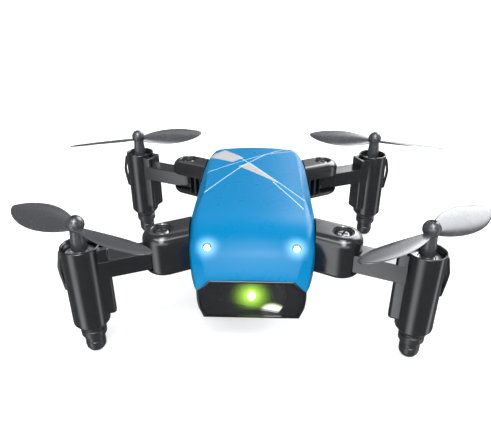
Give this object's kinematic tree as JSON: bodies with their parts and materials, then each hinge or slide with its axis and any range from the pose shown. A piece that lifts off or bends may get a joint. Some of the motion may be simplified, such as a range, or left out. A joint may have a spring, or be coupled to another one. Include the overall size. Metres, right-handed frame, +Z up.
{
  "type": "folding mini quadcopter drone",
  "caption": "Palm-size toy quadcopter with arms that fold against its sides, spinning propellers, a smoked nose window and a sliding power switch.",
  "frame": {"origin": "on the floor under the middle of the overall box at rest, arms open and propellers included; the middle of the four fold axes is 1.9 mm behind it", "axes": "+Z up, nose along -Y, +X across the body through the open arms"},
  "size_m": [0.1139, 0.0817, 0.0358],
  "materials": {
    "canopy_blue": "glossy sky blue moulded shell",
    "gunmetal_plastic": "glossy near-black gunmetal plastic",
    "smoked_lens": "smoked clear plastic",
    "reflector_silver": "vacuum-plated plastic bowl",
    "green_led": "clear lamp, lit green",
    "white_led": "clear lamp, lit white",
    "board_green": "solder-masked board",
    "battery_foil": "foil pouch",
    "lead_insulation": "soft wire insulation",
    "aerial_insulation": "soft wire insulation",
    "port_steel": "plated steel shell",
    "switch_black": "plain black plastic",
    "screw_steel": "dark plated steel",
    "motor_steel": "bright motor can",
    "motor_cap": "plain black plastic",
    "foot_rubber": "black rubber",
    "blade_plastic": "dark grey flexible plastic"
  },
  "bodies": {
    "airframe": {"canopy": "canopy_blue", "upper_frame": "gunmetal_plastic", "lower_frame": "gunmetal_plastic", "nose_visor": "smoked_lens", "nose_reflector": "reflector_silver", "nose_led": "green_led", "headlight_led_left": "white_led", "headlight_led_right": "white_led", "main_board": "board_green", "battery": "battery_foil", "battery_lead": "lead_insulation", "antenna_wire": "aerial_insulation", "charge_socket": "port_steel", "power_switch_body": "switch_black", "body_screw_front_left": "screw_steel", "body_screw_front_right": "screw_steel", "body_screw_rear_left": "screw_steel", "body_screw_rear_right": "screw_steel", "pivot_screw_front_left": "screw_steel", "pivot_screw_front_right": "screw_steel", "pivot_screw_rear_left": "screw_steel", "pivot_screw_rear_right": "screw_steel"},
    "power_slider": {"power_switch_slider": "switch_black"},
    "front_left_arm": {"arm_front_left": "gunmetal_plastic", "motor_can_front_left": "motor_steel", "motor_endcap_front_left": "motor_cap", "motor_lead_front_left": "lead_insulation", "foot_front_left": "foot_rubber"},
    "front_left_rotor": {"rotor_shaft_front_left": "screw_steel", "propeller_front_left": "blade_plastic"},
    "front_right_arm": {"arm_front_right": "gunmetal_plastic", "motor_can_front_right": "motor_steel", "motor_endcap_front_right": "motor_cap", "motor_lead_front_right": "lead_insulation", "foot_front_right": "foot_rubber"},
    "front_right_rotor": {"rotor_shaft_front_right": "screw_steel", "propeller_front_right": "blade_plastic"},
    "rear_left_arm": {"arm_rear_left": "gunmetal_plastic", "motor_can_rear_left": "motor_steel", "motor_endcap_rear_left": "motor_cap", "motor_lead_rear_left": "lead_insulation", "foot_rear_left": "foot_rubber"},
    "rear_left_rotor": {"rotor_shaft_rear_left": "screw_steel", "propeller_rear_left": "blade_plastic"},
    "rear_right_arm": {"arm_rear_right": "gunmetal_plastic", "motor_can_rear_right": "motor_steel", "motor_endcap_rear_right": "motor_cap", "motor_lead_rear_right": "lead_insulation", "foot_rear_right": "foot_rubber"},
    "rear_right_rotor": {"rotor_shaft_rear_right": "screw_steel", "propeller_rear_right": "blade_plastic"}
  },
  "joints": [
    {"name": "fold_front_left", "type": "hinge", "parent": "airframe", "child": "front_left_arm", "pos_m": [-0.02065, -0.0209, 0.023], "axis": [0, 0, 1], "range_deg": [-90, 0]},
    {"name": "fold_front_right", "type": "hinge", "parent": "airframe", "child": "front_right_arm", "pos_m": [0.02065, -0.0209, 0.023], "axis": [0, 0, 1], "range_deg": [0, 90]},
    {"name": "fold_rear_left", "type": "hinge", "parent": "airframe", "child": "rear_left_arm", "pos_m": [-0.02065, 0.0247, 0.023], "axis": [0, 0, 1], "range_deg": [0, 90]},
    {"name": "fold_rear_right", "type": "hinge", "parent": "airframe", "child": "rear_right_arm", "pos_m": [0.02065, 0.0247, 0.023], "axis": [0, 0, 1], "range_deg": [-90, 0]},
    {"name": "spin_front_left", "type": "hinge", "parent": "front_left_arm", "child": "front_left_rotor", "pos_m": [-0.0375, -0.02805, 0.033], "axis": [0, 0, 1], "continuous": true},
    {"name": "spin_front_right", "type": "hinge", "parent": "front_right_arm", "child": "front_right_rotor", "pos_m": [0.0375, -0.02805, 0.033], "axis": [0, 0, 1], "continuous": true},
    {"name": "spin_rear_left", "type": "hinge", "parent": "rear_left_arm", "child": "rear_left_rotor", "pos_m": [-0.0375, 0.03185, 0.033], "axis": [0, 0, 1], "continuous": true},
    {"name": "spin_rear_right", "type": "hinge", "parent": "rear_right_arm", "child": "rear_right_rotor", "pos_m": [0.0375, 0.03185, 0.033], "axis": [0, 0, 1], "continuous": true},
    {"name": "power_switch", "type": "slide", "parent": "airframe", "child": "power_slider", "axis": [1, 0, 0], "range_m": [0, 0.0028]}
  ]
}
